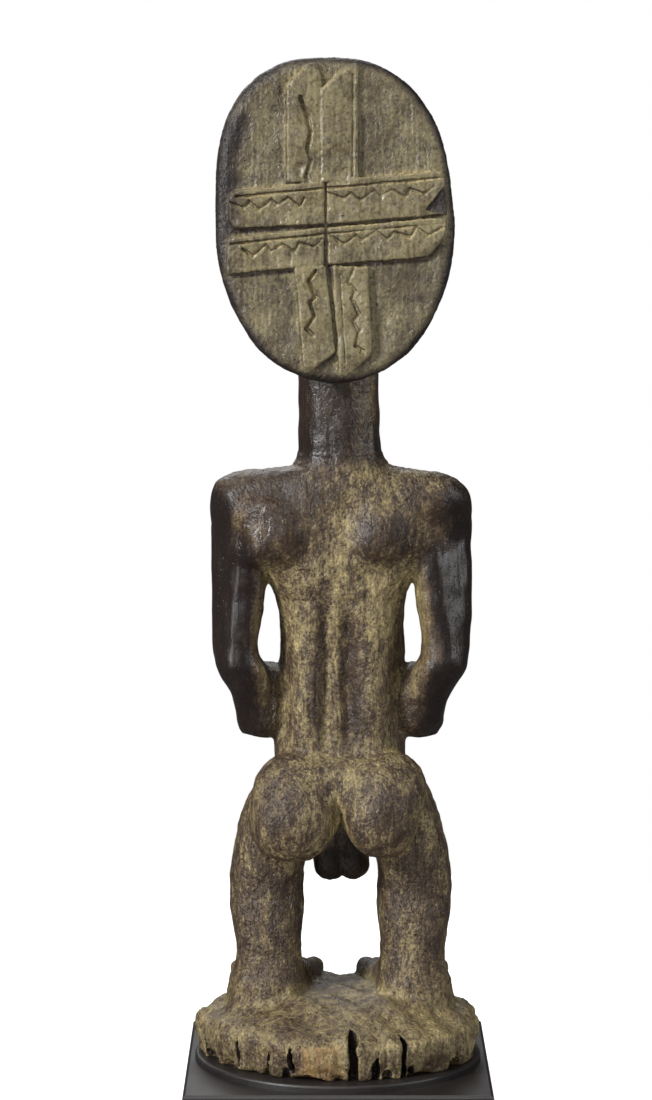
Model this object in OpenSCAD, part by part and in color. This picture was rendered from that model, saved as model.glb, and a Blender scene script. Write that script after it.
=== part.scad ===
// Carved ancestor figure standing on a turned seat and a square display plinth.
// Millimetres. +Z is up, the figure faces -Y, and its own left side is +X.
// The origin is the middle of the stand's underside.

/* [Stand] */
// Side of the square plinth
plinth_w = 200; // [196:1:240]
// Thickness of the plinth block
plinth_t = 43; // [36:1:60]
// Chamfer round the plinth's top edge
plinth_chamfer = 2; // [0.5:0.5:4]
// Thickness of the felt pads under the plinth
felt_t = 2; // [1:0.5:4]
// Diameter of each felt pad
felt_d = 24; // [16:1:30]
// Diameter of the turned seat disc
seat_d = 190; // [184:1:194]
// Thickness of the seat disc
seat_t = 5; // [4:0.5:10]

/* [Mounting rods] */
// Diameter of the two steel rods that the carving is slipped over
rod_d = 6; // [5:0.5:7]
// Distance between the two rods
rod_gap = 92; // [80:1:100]
// How far the rods stand up inside the carved base
rod_reach = 26; // [16:1:30]
// Radial play between a rod and its hole in the wood
rod_play = 0.2; // [0.1:0.05:0.5]

/* [Carving levels above the seat] */
// Thickness of the carved base under the ankles
base_t = 38; // [36:1:42]
// Height of the ankles
ankle_z = 62; // [58:1:66]
// Height where the legs meet the seat
hip_z = 126; // [122:1:130]
// Height of the waist crease
waist_z = 193; // [188:1:198]
// Height of the armpits
armpit_z = 324; // [320:1:328]
// Height of the collar, where the neck rises
collar_z = 391; // [388:1:394]
// Height of the crown, which is the height of the carving
crown_z = 655; // [650:1:660]

/* [Carving widths] */
// Width of the carved base
base_w = 188; // [180:1:190]
// Depth of the carved base, front to back
base_d = 170; // [160:1:184]
// Width over both arms
shoulder_w = 172; // [168:1:176]
// Width of the trunk at the waist
waist_w = 86; // [82:1:88]
// Width over both thighs
hip_w = 146; // [142:1:150]
// Gap between the legs
leg_gap = 48; // [44:1:52]
// Diameter of the neck
neck_d = 54; // [50:1:58]
// Width of the coiffure disc
disc_w = 152; // [146:1:158]
// Height of the coiffure disc
disc_h = 206; // [200:1:210]
// Thickness of the coiffure disc at its rim
disc_t = 20; // [16:1:24]

/* [Hidden] */

wood = "#3a2c1e";
worn_wood = "#5b4a30";
black_wood = "#191614";
steel = "silver";

plinth_top = felt_t + plinth_t;
seat_top = plinth_top + seat_t;
body_x = -1.5;                      // the trunk stands a little to the figure's right of the base
disc_x = 2;                         // and the coiffure a little to its left
rod_r = rod_d / 2;
hole_r = rod_r + rod_play;          // the slip fit in the carved base
clear_r = rod_r + 0.3;              // the drilled way through the plinth and the seat
nut_h = 5;
nut_af = 10;                        // across flats
nut_bore_r = rod_r + 0.05;
washer_t = 1.2;
washer_r = 7;
pocket_r = 9;                       // counterbores that hide the nuts
lower_pocket = 14;
upper_pocket = nut_h + washer_t + 0.4;
rod_tail = 2;                       // rod end left beyond the lower nut
screw_r = 1.75;
screw_head_r = 3.5;
screw_len = 24;
screw_circle = 30;                  // the seat screws' distance from the middle
slab = 0.02;                        // thickness of a slice used in a hull
disc_back = 56;                     // y of the disc's back face
disc_front = disc_back - disc_t;
disc_z = crown_z - disc_h / 2;
ring_points = 40;

// ---------- shared shapes ----------

// Points of a rounded rectangle-like oval: power 2 is an ellipse, a higher one is squarer.
function oval(half_w, half_d, power, points) =
    [for (i = [0:points - 1])
        let (a = 360 * i / points, c = cos(a), s = sin(a))
        [half_w * sign(c) * pow(abs(c), 2 / power), half_d * sign(s) * pow(abs(s), 2 / power)]];

// A solid through rings of points, from the lowest to the highest. All rings have as many points.
module loft(rings) {
    n = len(rings[0]);
    sides = [for (k = [0:len(rings) - 2], i = [0:n - 1])
        let (j = (i + 1) % n, a = k * n, b = a + n)
        each [[a + i, b + i, b + j], [a + i, b + j, a + j]]];
    bottom = [for (i = [0:n - 1]) i];
    top = [for (i = [n - 1:-1:0]) (len(rings) - 1) * n + i];
    polyhedron([for (r = rings) each r], concat(sides, [bottom, top]));
}

// A solid through level sections. Each is [z above the seat, middle x, half width, front y, back y,
// power of its oval].
module stack(sections) {
    loft([for (s = sections)
        [for (p = oval(s[2], (s[4] - s[3]) / 2, s[5], ring_points))
            [s[1] + p[0], (s[3] + s[4]) / 2 + p[1], seat_top + s[0]]]]);
}

// An ellipsoid. A ball is [[x, y, z], [rx, ry, rz]], with z above the seat.
module ball(b) {
    translate(b[0] + [0, 0, seat_top]) scale(b[1]) sphere(1, $fn = 20);
}

// A limb through a row of balls.
module limb(balls) {
    for (i = [0:len(balls) - 2])
        hull() {
            ball(balls[i]);
            ball(balls[i + 1]);
        }
}

// Everything between two levels above the seat.
module level(low, high) {
    translate([-plinth_w, -plinth_w, seat_top + low]) cube([2 * plinth_w, 2 * plinth_w, high - low]);
}

// ---------- forms of the carving, before they are parted from each other ----------

trunk = waist_w / 2;
trunk_rise = armpit_z - waist_z;
yoke_rise = collar_z - armpit_z;
trunk_sections = [
    [waist_z, body_x, trunk, -38, 24, 2.4],
    [waist_z + 0.16 * trunk_rise, body_x, trunk - 1, -50, 20, 2.3],
    [waist_z + 0.36 * trunk_rise, body_x, trunk - 1.5, -56, 19, 2.3],
    [waist_z + 0.60 * trunk_rise, body_x, trunk - 1.5, -50, 21, 2.3],
    [waist_z + 0.84 * trunk_rise, body_x, trunk + 1, -39, 25, 2.4],
    [armpit_z, body_x, trunk + 8, -34, 31, 2.6],
    [armpit_z + 0.35 * yoke_rise, body_x, trunk + 18, -34, 35, 2.8],
    [armpit_z + 0.70 * yoke_rise, body_x, trunk + 20, -32, 35, 2.8],
    [armpit_z + 0.90 * yoke_rise, body_x, trunk + 8, -30, 32, 2.6],
    [collar_z, body_x, neck_d / 2 + 2, -27, 29, 2.2]];

module trunk_form() stack(trunk_sections);

arm_r = 18;
arm_x = shoulder_w / 2 - arm_r;     // the upper arm's middle, beside the trunk

// The figure's left arm; the right one mirrors it.
module arm_form() {
    limb([
        [[arm_x - 20, 4, collar_z - 22], [18, 22, 17]],
        [[arm_x - 1, 4, collar_z - 28], [arm_r, 22, 17]],
        [[arm_x, 4, armpit_z + 10], [arm_r, 20, 20]],
        [[arm_x, 4, armpit_z - 24], [arm_r - 1, 19, 20]],
        [[arm_x, 5, armpit_z - 50], [arm_r - 1.5, 18, 18]],
        [[arm_x - 2, 6, armpit_z - 72], [arm_r - 1, 18, 20]],
        [[arm_x - 8, -8, armpit_z - 88], [15, 16, 23]],
        [[arm_x - 14, -26, armpit_z - 92], [13, 14, 20]],
        [[arm_x - 22, -44, armpit_z - 93], [13, 11, 16]],
        [[arm_x - 32, -54, armpit_z - 92], [13, 8, 14]]]);
}

thigh_w = (hip_w - leg_gap) / 2;
thigh_x = (hip_w + leg_gap) / 4;

// The figure's left leg, from the ankle into the hip.
module leg_form() {
    stack([
        [ankle_z, thigh_x - 2, thigh_w / 2 - 4, -20, 24, 2.3],
        [ankle_z + 12, thigh_x - 1, thigh_w / 2 - 2, -23, 25, 2.3],
        [ankle_z + 26, thigh_x, thigh_w / 2 - 0.5, -28, 25, 2.3],
        [ankle_z + 38, thigh_x, thigh_w / 2, -33, 23, 2.3],
        [ankle_z + 50, thigh_x, thigh_w / 2, -33, 26, 2.3],
        [hip_z, thigh_x, thigh_w / 2 - 0.5, -31, 32, 2.3],
        [hip_z + 14, thigh_x - 2, thigh_w / 2 - 0.5, -31, 34, 2.3],
        [hip_z + 30, thigh_x - 7, thigh_w / 2 - 1, -31, 34, 2.3],
        [hip_z + 46, thigh_x - 14, thigh_w / 2 - 1, -34, 32, 2.3],
        [waist_z, thigh_x - 26, thigh_w / 2 - 3, -36, 26, 2.3]]);
}

module both_sides() {
    translate([body_x, 0, 0]) {
        children();
        mirror([1, 0, 0]) children();
    }
}

module pelvis_form() {
    intersection() {
        union() {
            both_sides() leg_form();
            both_sides() limb([
                [[26, 22, hip_z + 32], [31, 26, 30]],
                [[29, 20, hip_z + 38], [31, 26, 30]]]);
            stack([
                [hip_z + 20, body_x, 24, -30, 26, 2],
                [hip_z + 40, body_x, 36, -35, 30, 2.2],
                [waist_z, body_x, trunk, -38, 24, 2.4]]);
        }
        level(hip_z, waist_z);
    }
}

module groin_form() {
    translate([body_x, 0, 0]) {
        limb([[[7.5, -18, hip_z - 2], [9.5, 12, 12.5]], [[5, -18, hip_z + 20], [9, 10, 10]]]);
        limb([[[-7.5, -18, hip_z - 2], [9.5, 12, 12.5]], [[-5, -18, hip_z + 20], [9, 10, 10]]]);
        limb([[[0, -34, hip_z - 6], [7, 6, 8]], [[0, -27, hip_z + 20], [8, 8, 8]]]);
    }
}

chin_z = collar_z + 62;
head_rise = crown_z - chin_z;
nape_z = chin_z + 0.10 * head_rise; // the neck runs up into the head as far as this

module neck_form() {
    stack([
        [collar_z, body_x, neck_d / 2 + 1, -26, 27, 2],
        [collar_z + 14, body_x, neck_d / 2, -26, 26, 2],
        [nape_z, body_x + 1, neck_d / 2 - 1, -26, 26, 2]]);
}

// The head in front of the coiffure disc, without its features.
module skull() {
    stack([
        [chin_z - 6, 0, 16, -50, -17, 2],
        [chin_z + 2, 0, 28, -55, 8, 2],
        [chin_z + 0.08 * head_rise, 0, 36, -57, 34, 2],
        [chin_z + 0.20 * head_rise, 0, 44, -59, disc_front, 2],
        [chin_z + 0.36 * head_rise, 0, 50, -58, disc_front, 2.1],
        [chin_z + 0.50 * head_rise, 0, 53, -56, disc_front, 2.1],
        [chin_z + 0.62 * head_rise, 0, 54, -58, disc_front, 2.1],
        [chin_z + 0.74 * head_rise, 0, 52, -55, disc_front, 2.1],
        [chin_z + 0.85 * head_rise, 0, 45, -45, disc_front, 2.1],
        [chin_z + 0.94 * head_rise, 0, 32, -28, disc_front, 2.1],
        [crown_z - 3, 0, 14, -6, disc_front, 2]]);
}

// A calm, regular face: its eyes lie half way up, its nose and mouth on the usual thirds.
eye_z = chin_z + 0.5 * head_rise;
mouth_z = chin_z + 0.19 * head_rise;
nose_z = chin_z + 0.29 * head_rise;

module head_form() {
    skull();
    limb([
        [[0, -63, nose_z], [8, 7, 5]],
        [[0, -63, nose_z + 8], [5.5, 6, 7]],
        [[0, -55, eye_z + 4], [4, 5, 7]]]);
    for (side = [-1, 1]) {
        limb([[[0, -59, mouth_z + 2.5], [5, 4, 2.5]], [[side * 12, -56, mouth_z + 1], [4, 3, 2]]]);
        limb([[[0, -59, mouth_z - 3], [5, 4, 3]], [[side * 11, -56, mouth_z - 1.5], [4, 3, 2]]]);
        limb([[[side * 14, -55, eye_z], [5, 4, 5]], [[side * 28, -50, eye_z], [5, 4, 4]]]);
        limb([[[side * 8, -57, eye_z + 14], [6, 4, 3]], [[side * 34, -48, eye_z + 13], [5, 4, 3]]]);
        limb([
            [[side * 51, -2, nose_z + 4], [4, 7, 6]],
            [[side * 54, 2, eye_z + 2], [5, 10, 9]]]);
    }
}

// ---------- nodes of the carving ----------

// The disc's outline is an egg: squarer above, rounder below.
function egg(grow) =
    [for (p = oval(disc_w / 2 + grow, disc_h / 2 + grow, 2.5, 64)) if (p[1] >= 0) p,
     for (p = oval(disc_w / 2 + grow, disc_h / 2 + grow, 2.05, 64)) if (p[1] < 0) p];

// One thin upright slice of the disc at a place on Y.
module disc_slice(y, grow) {
    translate([disc_x, y, seat_top + disc_z]) rotate([90, 0, 0]) linear_extrude(slab, center = true)
        polygon(egg(grow));
}

module coiffure_disc() {
    color(worn_wood) hull() {
        disc_slice(disc_front + slab / 2, -10);
        disc_slice(disc_back - disc_t / 2, 0);
        disc_slice(disc_back - 3, -1);
        disc_slice(disc_back - slab / 2, -5);
    }
}

plait_t = 4;                        // how far a plait stands up from the disc
plait_w = 21;
plait_gap = 2;
across_lean = 5;                    // the cross's arms lean a little, as cut by eye
upright_lean = -3.5;

// Two flat plaits side by side along +X, from the middle of the cross outwards.
module plait_pair(start, finish) {
    for (side = [-1, 1])
        translate([start, 0, side > 0 ? plait_gap / 2 : -plait_gap / 2 - plait_w])
            hull() {
                cube([finish - start - 3, plait_t, plait_w]);
                translate([0, 0, 2]) cube([finish - start, plait_t - 1, plait_w - 4]);
            }
}

// Four pairs of plaits in a cross on the back of the disc.
module coiffure_plaits() {
    across = disc_w / 2 - 8;
    upright = disc_h / 2 - 9;
    upright_start = plait_w + 2.5 * plait_gap;
    color(worn_wood) translate([disc_x, disc_back, seat_top + disc_z + 4]) {
        rotate([0, across_lean, 0]) {
            plait_pair(plait_gap / 2, across);
            rotate([0, 180, 0]) plait_pair(plait_gap / 2, across);
        }
        rotate([0, -90 - upright_lean, 0]) plait_pair(upright_start, upright - 4);
        rotate([0, 90 - upright_lean, 0]) plait_pair(upright_start, upright + 2);
    }
}

module head() {
    color(wood) intersection() {
        head_form();
        translate([-plinth_w, -plinth_w, 0]) cube([2 * plinth_w, plinth_w + disc_front, 2 * crown_z]);
    }
}

module neck() {
    color(wood) difference() {
        neck_form();
        skull();
    }
}

module torso() {
    color(wood) trunk_form();
}

module arm_left() {
    color(wood) difference() {
        translate([body_x, 0, 0]) arm_form();
        trunk_form();
    }
}

module arm_right() {
    color(wood) difference() {
        translate([body_x, 0, 0]) mirror([1, 0, 0]) arm_form();
        trunk_form();
    }
}

module pelvis() {
    color(worn_wood) difference() {
        pelvis_form();
        crotch();
    }
}

// The arch between the thighs.
module crotch() {
    translate([body_x, 0, seat_top + hip_z]) rotate([90, 0, 0])
        cylinder(h = 2 * plinth_w, r = leg_gap / 2 - 2, center = true, $fn = 48);
}

module groin() {
    color(wood) difference() {
        groin_form();
        difference() {
            pelvis_form();
            crotch();
        }
    }
}

module leg_left() {
    color(worn_wood) translate([body_x, 0, 0]) intersection() {
        leg_form();
        level(ankle_z, hip_z);
    }
}

module leg_right() {
    color(worn_wood) translate([body_x, 0, 0]) mirror([1, 0, 0]) intersection() {
        leg_form();
        level(ankle_z, hip_z);
    }
}

// The left foot, heel under the leg and toes forward.
module foot_form() {
    translate([body_x, 0, 0]) stack([
        [rim_t, thigh_x, thigh_w / 2 + 4, -62, 29, 2.6],
        [base_t + 4, thigh_x, thigh_w / 2 + 3, -61, 29, 2.6],
        [base_t + 13, thigh_x, thigh_w / 2 + 1, -52, 27, 2.5],
        [base_t + 19, thigh_x - 1, thigh_w / 2 - 2, -36, 25, 2.3],
        [ankle_z, thigh_x - 2, thigh_w / 2 - 4, -20, 24, 2.3]]);
}

module foot_left() {
    color(worn_wood) difference() {
        foot_form();
        base_form();
    }
}

module foot_right() {
    color(worn_wood) difference() {
        translate([2 * body_x, 0, 0]) mirror([1, 0, 0]) foot_form();
        base_form();
    }
}

base_points = 72;
rim_t = 24;                         // height of the base's rim, below its sloping top

// Outline of the worn base: an oval with a few shallow waves. Grow widens it.
function base_outline(grow) =
    [for (i = [0:base_points - 1])
        let (a = 360 * i / base_points,
             wave = 1.2 * cos(3 * a + 40) + 1.0 * cos(5 * a - 20) + 0.6 * cos(9 * a + 70),
             p = oval(base_w / 2 - 2 + grow, base_d / 2 - 2 + grow, 2.1, base_points)[i])
        p * (1 + wave / 90)];

// Base sections are [height, growth of the outline].
base_sections = [[0, -5], [6, -1], [14, 0], [rim_t - 3, -1], [rim_t + 2, -8],
                 [rim_t + 8, -24], [base_t, -48]];

module base_form() {
    loft([for (s = base_sections) [for (p = base_outline(s[1])) [p[0], p[1], seat_top + s[0]]]]);
}

// Drying cracks in the base: [angle round it, width, depth inwards from the rim, height].
base_cracks = [[97, 5, 26, 30], [66, 2, 12, 20], [118, 2.5, 12, 22], [160, 4, 10, 20], [-70, 3, 14, 20]];

module carved_base() {
    color(worn_wood) difference() {
        base_form();
        for (c = base_cracks)
            rotate([0, 0, c[0]]) translate([base_d / 2 + 8 * pow(cos(c[0]), 2) - c[2], -c[1] / 2, seat_top - 1])
                cube([c[2] + 20, c[1], c[3] + 1]);
        rod_places() translate([0, 0, seat_top - 1]) cylinder(h = rod_reach + 3, r = hole_r, $fn = 48);
    }
}

// ---------- nodes of the stand ----------

module rod_places() {
    for (side = [-1, 1]) translate([side * rod_gap / 2, 0, 0]) children();
}

module screw_places() {
    for (k = [0:2]) rotate([0, 0, 90 + 120 * k]) translate([screw_circle, 0, 0]) children();
}

module seat_disc() {
    edge = 2;                       // the turned shoulder's radius
    color(black_wood) difference() {
        translate([0, 0, plinth_top]) rotate_extrude($fn = 96) union() {
            square([seat_d / 2 - edge, seat_t]);
            square([seat_d / 2, seat_t - edge]);
            translate([seat_d / 2 - edge, seat_t - edge]) circle(edge, $fn = 32);
        }
        rod_places() translate([0, 0, plinth_top - 1]) cylinder(h = seat_t + 2, r = clear_r, $fn = 48);
        screw_places() {
            translate([0, 0, plinth_top - 1]) cylinder(h = seat_t + 2, r = screw_r + 0.02, $fn = 32);
            translate([0, 0, seat_top - 2.6]) cylinder(h = 2.7, r = screw_head_r + 0.2, $fn = 32);
        }
    }
}

module plinth() {
    color(black_wood) difference() {
        hull() {
            translate([-plinth_w / 2, -plinth_w / 2, felt_t])
                cube([plinth_w, plinth_w, plinth_t - plinth_chamfer]);
            translate([-plinth_w / 2 + plinth_chamfer, -plinth_w / 2 + plinth_chamfer, felt_t])
                cube([plinth_w - 2 * plinth_chamfer, plinth_w - 2 * plinth_chamfer, plinth_t]);
        }
        rod_places() {
            translate([0, 0, felt_t - 1]) cylinder(h = plinth_t + 2, r = clear_r, $fn = 48);
            translate([0, 0, felt_t - 1]) cylinder(h = lower_pocket + 1, r = pocket_r, $fn = 48);
            translate([0, 0, plinth_top - upper_pocket]) cylinder(h = upper_pocket + 1, r = pocket_r, $fn = 48);
        }
        screw_places() translate([0, 0, seat_top - screw_len - 1])
            cylinder(h = screw_len + 2, r = screw_r + 0.02, $fn = 32);
    }
}

lower_washer_z = felt_t + lower_pocket - washer_t;
lower_nut_z = lower_washer_z - nut_h;
upper_washer_z = plinth_top - upper_pocket;
upper_nut_z = upper_washer_z + washer_t;

module mounting_rods() {
    tip = 1.5;                      // chamfer that leads the hole onto the rod
    low = lower_nut_z - rod_tail;
    long = seat_top + rod_reach - low;
    color(steel) rod_places() translate([0, 0, low]) {
        cylinder(h = long - tip, r = rod_r, $fn = 48);
        translate([0, 0, long - tip]) cylinder(h = tip, r1 = rod_r, r2 = rod_r - 1, $fn = 48);
    }
}

module nut() {
    difference() {
        cylinder(h = nut_h, r = nut_af / sqrt(3), $fn = 6);
        translate([0, 0, -1]) cylinder(h = nut_h + 2, r = nut_bore_r, $fn = 48);
    }
}

module washer() {
    difference() {
        cylinder(h = washer_t, r = washer_r, $fn = 48);
        translate([0, 0, -1]) cylinder(h = washer_t + 2, r = rod_r + 0.2, $fn = 48);
    }
}

module upper_nuts() {
    color(steel) rod_places() translate([0, 0, upper_nut_z]) nut();
}

module upper_washers() {
    color(steel) rod_places() translate([0, 0, upper_washer_z]) washer();
}

module lower_nuts() {
    color(steel) rod_places() translate([0, 0, lower_nut_z]) nut();
}

module lower_washers() {
    color(steel) rod_places() translate([0, 0, lower_washer_z]) washer();
}

// Countersunk wood screws that hold the seat to the plinth, heads just under its face.
module seat_screws() {
    head_t = 2.2;
    color(steel) screw_places() {
        translate([0, 0, seat_top - screw_len]) cylinder(h = screw_len - 0.3 - head_t, r = screw_r, $fn = 32);
        translate([0, 0, seat_top - 0.3 - head_t]) difference() {
            cylinder(h = head_t, r = screw_head_r, $fn = 32);
            translate([-screw_head_r, -0.4, head_t - 1]) cube([2 * screw_head_r, 0.8, 2]);
        }
    }
}

module felt_pads() {
    inset = plinth_w / 2 - felt_d / 2 - 6;
    color("darkgreen") for (x = [-1, 1], y = [-1, 1])
        translate([x * inset, y * inset, 0]) cylinder(h = felt_t, d = felt_d, $fn = 48);
}

coiffure_disc();
coiffure_plaits();
head();
neck();
torso();
arm_left();
arm_right();
pelvis();
groin();
leg_left();
leg_right();
foot_left();
foot_right();
carved_base();
seat_disc();
plinth();
mounting_rods();
upper_nuts();
upper_washers();
lower_nuts();
lower_washers();
seat_screws();
felt_pads();
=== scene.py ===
"""The looks of a carved wooden ancestor figure on its display stand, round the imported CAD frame.

The carving is sculpted as a field of signed distances in millimetres, in the row frame, meshed once,
and then sawn into the same named pieces as the CAD model, so that their surfaces run on without a seam.
"""
import math

import bpy
import numpy as np
import openvdb
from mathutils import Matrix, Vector, kdtree


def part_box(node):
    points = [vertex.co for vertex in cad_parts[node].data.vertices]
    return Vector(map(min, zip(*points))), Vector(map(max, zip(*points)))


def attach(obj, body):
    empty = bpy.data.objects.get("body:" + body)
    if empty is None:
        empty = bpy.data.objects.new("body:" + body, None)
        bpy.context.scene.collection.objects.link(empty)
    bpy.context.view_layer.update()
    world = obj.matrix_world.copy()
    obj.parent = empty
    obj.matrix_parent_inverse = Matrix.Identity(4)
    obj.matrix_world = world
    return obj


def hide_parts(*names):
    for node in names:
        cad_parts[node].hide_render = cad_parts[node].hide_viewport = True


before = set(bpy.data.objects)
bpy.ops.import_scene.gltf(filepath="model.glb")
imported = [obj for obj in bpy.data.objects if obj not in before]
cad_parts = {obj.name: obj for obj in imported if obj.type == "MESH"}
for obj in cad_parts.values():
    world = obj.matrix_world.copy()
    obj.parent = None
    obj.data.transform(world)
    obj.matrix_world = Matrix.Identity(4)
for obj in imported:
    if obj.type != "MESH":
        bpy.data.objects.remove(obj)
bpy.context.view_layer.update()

MM = 1000.0                         # millimetres in a metre
FAR = 16.0                          # distances are only kept up to this
STEP = 1.0   # the sculpture's grid
FINE = 0.6   # the coiffure's grid

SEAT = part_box("carved_base")[0].z * MM
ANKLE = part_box("leg_left")[0].z * MM
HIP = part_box("leg_left")[1].z * MM
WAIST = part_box("torso")[0].z * MM
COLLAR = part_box("torso")[1].z * MM
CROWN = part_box("coiffure_disc")[1].z * MM
DISC_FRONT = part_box("coiffure_disc")[0].y * MM
DISC_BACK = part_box("coiffure_disc")[1].y * MM
DISC_X = (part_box("coiffure_disc")[0].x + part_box("coiffure_disc")[1].x) / 2 * MM
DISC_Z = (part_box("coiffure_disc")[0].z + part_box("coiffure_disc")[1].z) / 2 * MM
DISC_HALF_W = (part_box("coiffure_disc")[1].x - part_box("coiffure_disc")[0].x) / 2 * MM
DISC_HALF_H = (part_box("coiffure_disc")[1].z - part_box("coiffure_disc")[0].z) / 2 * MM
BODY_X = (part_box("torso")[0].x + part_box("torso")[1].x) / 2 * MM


# ---------- numbers ----------

def spline(at, stations, column):
    """A smooth curve through one column of stations, whose first column is the height."""
    heights = np.array([s[0] for s in stations], np.float32)
    values = np.array([s[column] for s in stations], np.float32)
    slopes = np.gradient(values, heights)
    at = np.clip(at, heights[0], heights[-1])
    i = np.clip(np.searchsorted(heights, at) - 1, 0, len(heights) - 2)
    width = heights[i + 1] - heights[i]
    t = (at - heights[i]) / width
    return ((2 * t**3 - 3 * t**2 + 1) * values[i] + (t**3 - 2 * t**2 + t) * width * slopes[i]
            + (3 * t**2 - 2 * t**3) * values[i + 1] + (t**3 - t**2) * width * slopes[i + 1])


def ramp(value, low, high):
    """0 below low, 1 above high, and smooth between."""
    t = np.clip((value - low) / (high - low), 0.0, 1.0)
    return t * t * (3 - 2 * t)


def smooth_min(a, b, blend):
    """The smaller of two distances, rounded over blend where they are close."""
    if blend <= 0:
        return np.minimum(a, b)
    h = np.maximum(blend - np.abs(a - b), 0.0) / blend
    return np.minimum(a, b) - h * h * (blend / 4)


def smooth_max(a, b, blend):
    """The larger of two distances, rounded over blend where they are close."""
    return -smooth_min(-a, -b, blend)


def noise(points, size, seed, stretch=(1.0, 1.0, 1.0)):
    """Smooth random values from -1 to 1, the same on every run, with lumps about size mm across."""
    p = points / (np.array(stretch) * size) + seed * 17.37
    cell = np.floor(p).astype(np.int64)
    t = p - cell
    t = t * t * (3 - 2 * t)
    total = np.zeros(len(p))
    for corner in range(8):
        dx, dy, dz = corner & 1, corner >> 1 & 1, corner >> 2
        h = (cell[:, 0] + dx) * 374761393 + (cell[:, 1] + dy) * 668265263
        h = (h + (cell[:, 2] + dz) * 2147483647 + seed * 974711) & 0xFFFFFFFF
        h = ((h ^ (h >> 13)) * 1274126177) & 0xFFFFFFFF
        h = (h ^ (h >> 16)) & 0xFFFF
        weight = ((t[:, 0] if dx else 1 - t[:, 0]) * (t[:, 1] if dy else 1 - t[:, 1])
                  * (t[:, 2] if dz else 1 - t[:, 2]))
        total += weight * (h / 32767.5 - 1)
    return total


# ---------- forms: (lowest corner, highest corner, distance function of x, y, z) ----------

def ball(middle, radii, power=2.0):
    """An ellipsoid. A power over 2 gives it a flatter crown and steeper sides."""
    c, r = np.array(middle, np.float32), np.array(radii, np.float32)

    def distance(x, y, z):
        a, b, d = (np.abs((q - m) / s) + 1e-4 for q, m, s in zip((x, y, z), c, r))
        k = (a**power + b**power + d**power)**(1 / power)
        p = power - 1
        slope = np.sqrt((a**p / r[0])**2 + (b**p / r[1])**2 + (d**p / r[2])**2)
        return (k - 1) * k**p / (slope + 1e-6)
    return c - r, c + r, distance


def rod(start, end, start_r, end_r, flat=(1, 1, 1)):
    """A round-ended rod from start to end. Flat squeezes its section along X, Y or Z."""
    s = np.array(flat, np.float32)
    a, b = np.array(start, np.float32) / s, np.array(end, np.float32) / s
    along = b - a
    most = max(start_r, end_r) * s

    def distance(x, y, z):
        px, py, pz = x / s[0] - a[0], y / s[1] - a[1], z / s[2] - a[2]
        h = np.clip((px * along[0] + py * along[1] + pz * along[2]) / (along @ along), 0, 1)
        gap = np.sqrt((px - h * along[0])**2 + (py - h * along[1])**2 + (pz - h * along[2])**2)
        return (gap - (start_r + (end_r - start_r) * h)) * s.min()
    return np.minimum(a, b) * s - most, np.maximum(a, b) * s + most, distance


def stack(stations, square=0.2):
    """A form through level sections [height, middle x, half width, front y, back y].

    Square is 0 for oval sections and towards 1 for boxy ones.
    """
    bottom, top = stations[0][0], stations[-1][0]
    low = (min(s[1] - s[2] for s in stations), min(s[3] for s in stations), bottom)
    high = (max(s[1] + s[2] for s in stations), max(s[4] for s in stations), top)

    def distance(x, y, z):
        cx, rx, front, back = (spline(z, stations, column) for column in (1, 2, 3, 4))
        dx, dy = x - cx, y - (front + back) / 2
        u, v = (dx / rx)**2, (dy / ((back - front) / 2))**2
        rho = (1 - square) * np.sqrt(u + v) + square * np.sqrt(np.sqrt(u * u + v * v)) + 1e-4
        side = np.sqrt(dx * dx + dy * dy) * (1 - 1 / rho)
        return np.maximum(side, np.maximum(bottom - z, z - top))
    return np.array(low), np.array(high), distance


def levels(start, rows):
    """Sections for stack. In rows, z is above start, and x is off the body's middle."""
    return [(start + z, BODY_X + x, half, front, back) for z, x, half, front, back in rows]


def broadcast(axes):
    """The x, y and z along a grid's axes, shaped to work together."""
    x, y, z = axes
    return x[:, None, None], y[None, :, None], z[None, None, :]


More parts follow.
